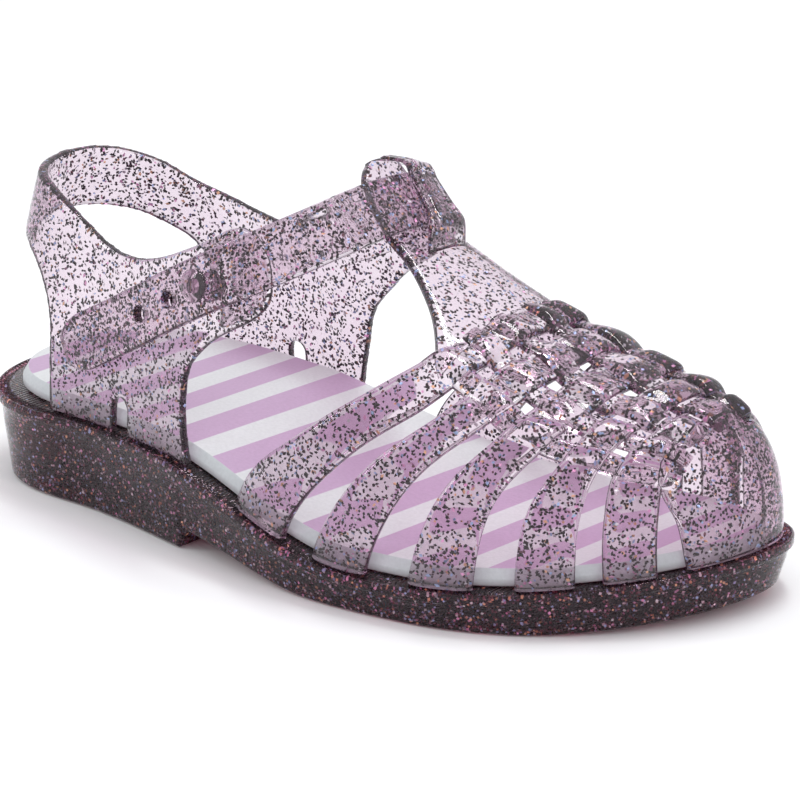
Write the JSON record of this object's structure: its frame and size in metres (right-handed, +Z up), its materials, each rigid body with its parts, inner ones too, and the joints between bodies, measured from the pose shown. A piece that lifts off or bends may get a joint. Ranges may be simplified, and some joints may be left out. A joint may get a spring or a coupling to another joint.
{
  "type": "jelly sandal",
  "caption": "Child's jelly sandal with a woven toe, T-bar, open quarters, ankle strap on a stud and a foam insole, in clear glitter plastic",
  "frame": {"origin": "on the floor, under the centre of the box around the whole shoe", "axes": "+X from heel to toe, +Y to the inner side of the foot, +Z up"},
  "size_m": [0.1756, 0.0772, 0.076],
  "materials": {
    "sole_plastic": "clear brown-purple soft PVC with glitter in it, glossy",
    "insole_foam": "white foam insole with printed lilac stripes, matt",
    "upper_plastic": "clear pale lilac soft PVC with dark, blue, copper and pink glitter in it, glossy"
  },
  "bodies": {
    "root": {"outsole": "sole_plastic", "insole": "insole_foam", "toe_piece": "upper_plastic", "heel_piece": "upper_plastic", "stud": "upper_plastic"}
  },
  "joints": []
}
